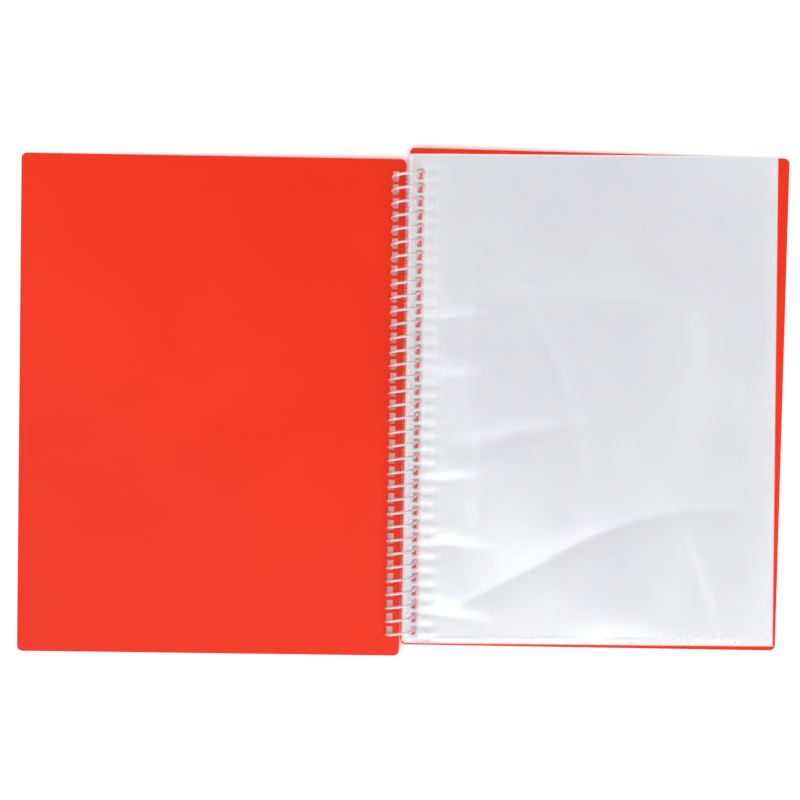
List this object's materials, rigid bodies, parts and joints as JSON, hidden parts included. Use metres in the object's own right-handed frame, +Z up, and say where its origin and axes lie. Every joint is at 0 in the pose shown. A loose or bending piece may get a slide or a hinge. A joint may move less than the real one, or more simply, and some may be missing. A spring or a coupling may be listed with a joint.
{
  "type": "clear pocket display book",
  "caption": "Coil-bound display book lying open: plastic covers and clear film pockets that turn about a clear plastic coil, each pocket open at the top to take a sheet.",
  "frame": {"origin": "on the table, under the middle of the coil's axis, at the centre of the open book", "axes": "+Z up, +Y along the coil towards the pockets' open top edges, +X across the book towards the pockets and the back cover"},
  "size_m": [0.4838, 0.3202, 0.0197],
  "materials": {
    "cover": "red polypropylene sheet with a fine satin grain",
    "film": "clear polypropylene film, slightly milky, glossy",
    "coil": "clear plastic filament"
  },
  "bodies": {
    "binding": {"back_cover": "cover", "binding_coil": "coil"},
    "front_cover": {"front_cover": "cover"},
    "pocket_01": {"pocket_01_back_film": "film", "pocket_01_front_film": "film"},
    "pocket_02": {"pocket_02_back_film": "film", "pocket_02_front_film": "film"},
    "pocket_03": {"pocket_03_back_film": "film", "pocket_03_front_film": "film"},
    "pocket_04": {"pocket_04_back_film": "film", "pocket_04_front_film": "film"},
    "pocket_05": {"pocket_05_back_film": "film", "pocket_05_front_film": "film"},
    "pocket_06": {"pocket_06_back_film": "film", "pocket_06_front_film": "film"},
    "pocket_07": {"pocket_07_back_film": "film", "pocket_07_front_film": "film"},
    "pocket_08": {"pocket_08_back_film": "film", "pocket_08_front_film": "film"},
    "pocket_09": {"pocket_09_back_film": "film", "pocket_09_front_film": "film"},
    "pocket_10": {"pocket_10_back_film": "film", "pocket_10_front_film": "film"}
  },
  "joints": [
    {"name": "front_cover_hinge", "type": "hinge", "parent": "binding", "child": "front_cover", "pos_m": [0, 0, 0.00985], "axis": [0, -1, 0], "range_deg": [-182.9, 0]},
    {"name": "pocket_10_hinge", "type": "hinge", "parent": "binding", "child": "pocket_10", "pos_m": [0, 0, 0.00985], "axis": [0, -1, 0], "range_deg": [0, 180]},
    {"name": "pocket_09_hinge", "type": "hinge", "parent": "pocket_10", "child": "pocket_09", "pos_m": [0, 0, 0.00985], "axis": [0, -1, 0], "range_deg": [0, 180]},
    {"name": "pocket_08_hinge", "type": "hinge", "parent": "pocket_09", "child": "pocket_08", "pos_m": [0, 0, 0.00985], "axis": [0, -1, 0], "range_deg": [0, 180]},
    {"name": "pocket_07_hinge", "type": "hinge", "parent": "pocket_08", "child": "pocket_07", "pos_m": [0, 0, 0.00985], "axis": [0, -1, 0], "range_deg": [0, 180]},
    {"name": "pocket_06_hinge", "type": "hinge", "parent": "pocket_07", "child": "pocket_06", "pos_m": [0, 0, 0.00985], "axis": [0, -1, 0], "range_deg": [0, 180]},
    {"name": "pocket_05_hinge", "type": "hinge", "parent": "pocket_06", "child": "pocket_05", "pos_m": [0, 0, 0.00985], "axis": [0, -1, 0], "range_deg": [0, 180]},
    {"name": "pocket_04_hinge", "type": "hinge", "parent": "pocket_05", "child": "pocket_04", "pos_m": [0, 0, 0.00985], "axis": [0, -1, 0], "range_deg": [0, 180]},
    {"name": "pocket_03_hinge", "type": "hinge", "parent": "pocket_04", "child": "pocket_03", "pos_m": [0, 0, 0.00985], "axis": [0, -1, 0], "range_deg": [0, 180]},
    {"name": "pocket_02_hinge", "type": "hinge", "parent": "pocket_03", "child": "pocket_02", "pos_m": [0, 0, 0.00985], "axis": [0, -1, 0], "range_deg": [0, 180]},
    {"name": "pocket_01_hinge", "type": "hinge", "parent": "pocket_02", "child": "pocket_01", "pos_m": [0, 0, 0.00985], "axis": [0, -1, 0], "range_deg": [0, 180]}
  ]
}
